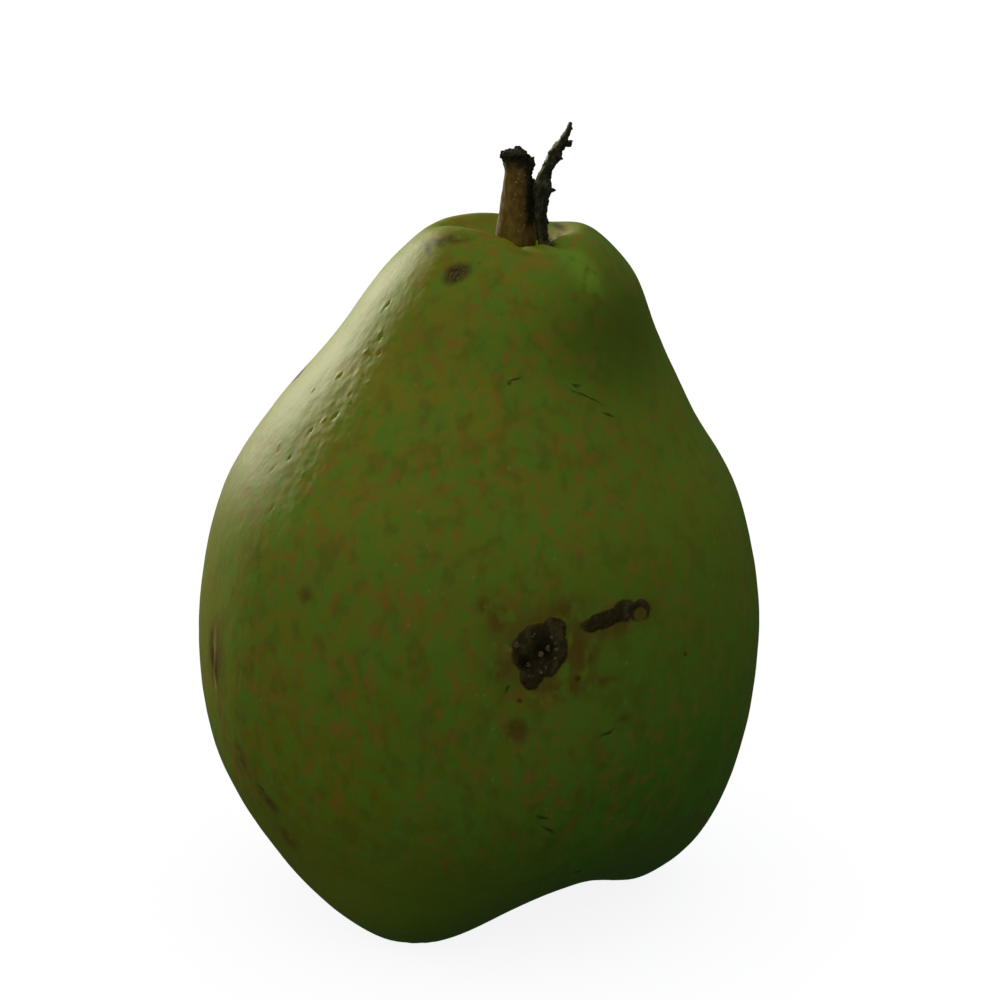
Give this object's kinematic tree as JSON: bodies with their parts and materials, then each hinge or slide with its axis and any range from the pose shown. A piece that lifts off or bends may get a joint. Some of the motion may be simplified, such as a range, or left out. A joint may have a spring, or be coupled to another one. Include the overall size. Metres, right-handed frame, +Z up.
{
  "type": "pear",
  "caption": "Plump pear leaning over one side of its base, with a woody stem, a withered side twig and a dry calyx underneath; stands by itself on its lobes.",
  "frame": {"origin": "on the surface that the pear stands on, under the middle of its width and depth", "axes": "+Z up, along the pear's height; the side that bulges lowest faces -Y, and the lean of the neck is to +X"},
  "size_m": [0.0732, 0.0724, 0.104],
  "materials": {
    "skin": "satin",
    "stem_wood": "matte",
    "dry_twig": "matte",
    "dry_calyx": "matte"
  },
  "bodies": {
    "root": {"fruit": "skin", "stem": "stem_wood", "side_twig": "dry_twig", "calyx": "dry_calyx"}
  },
  "joints": []
}
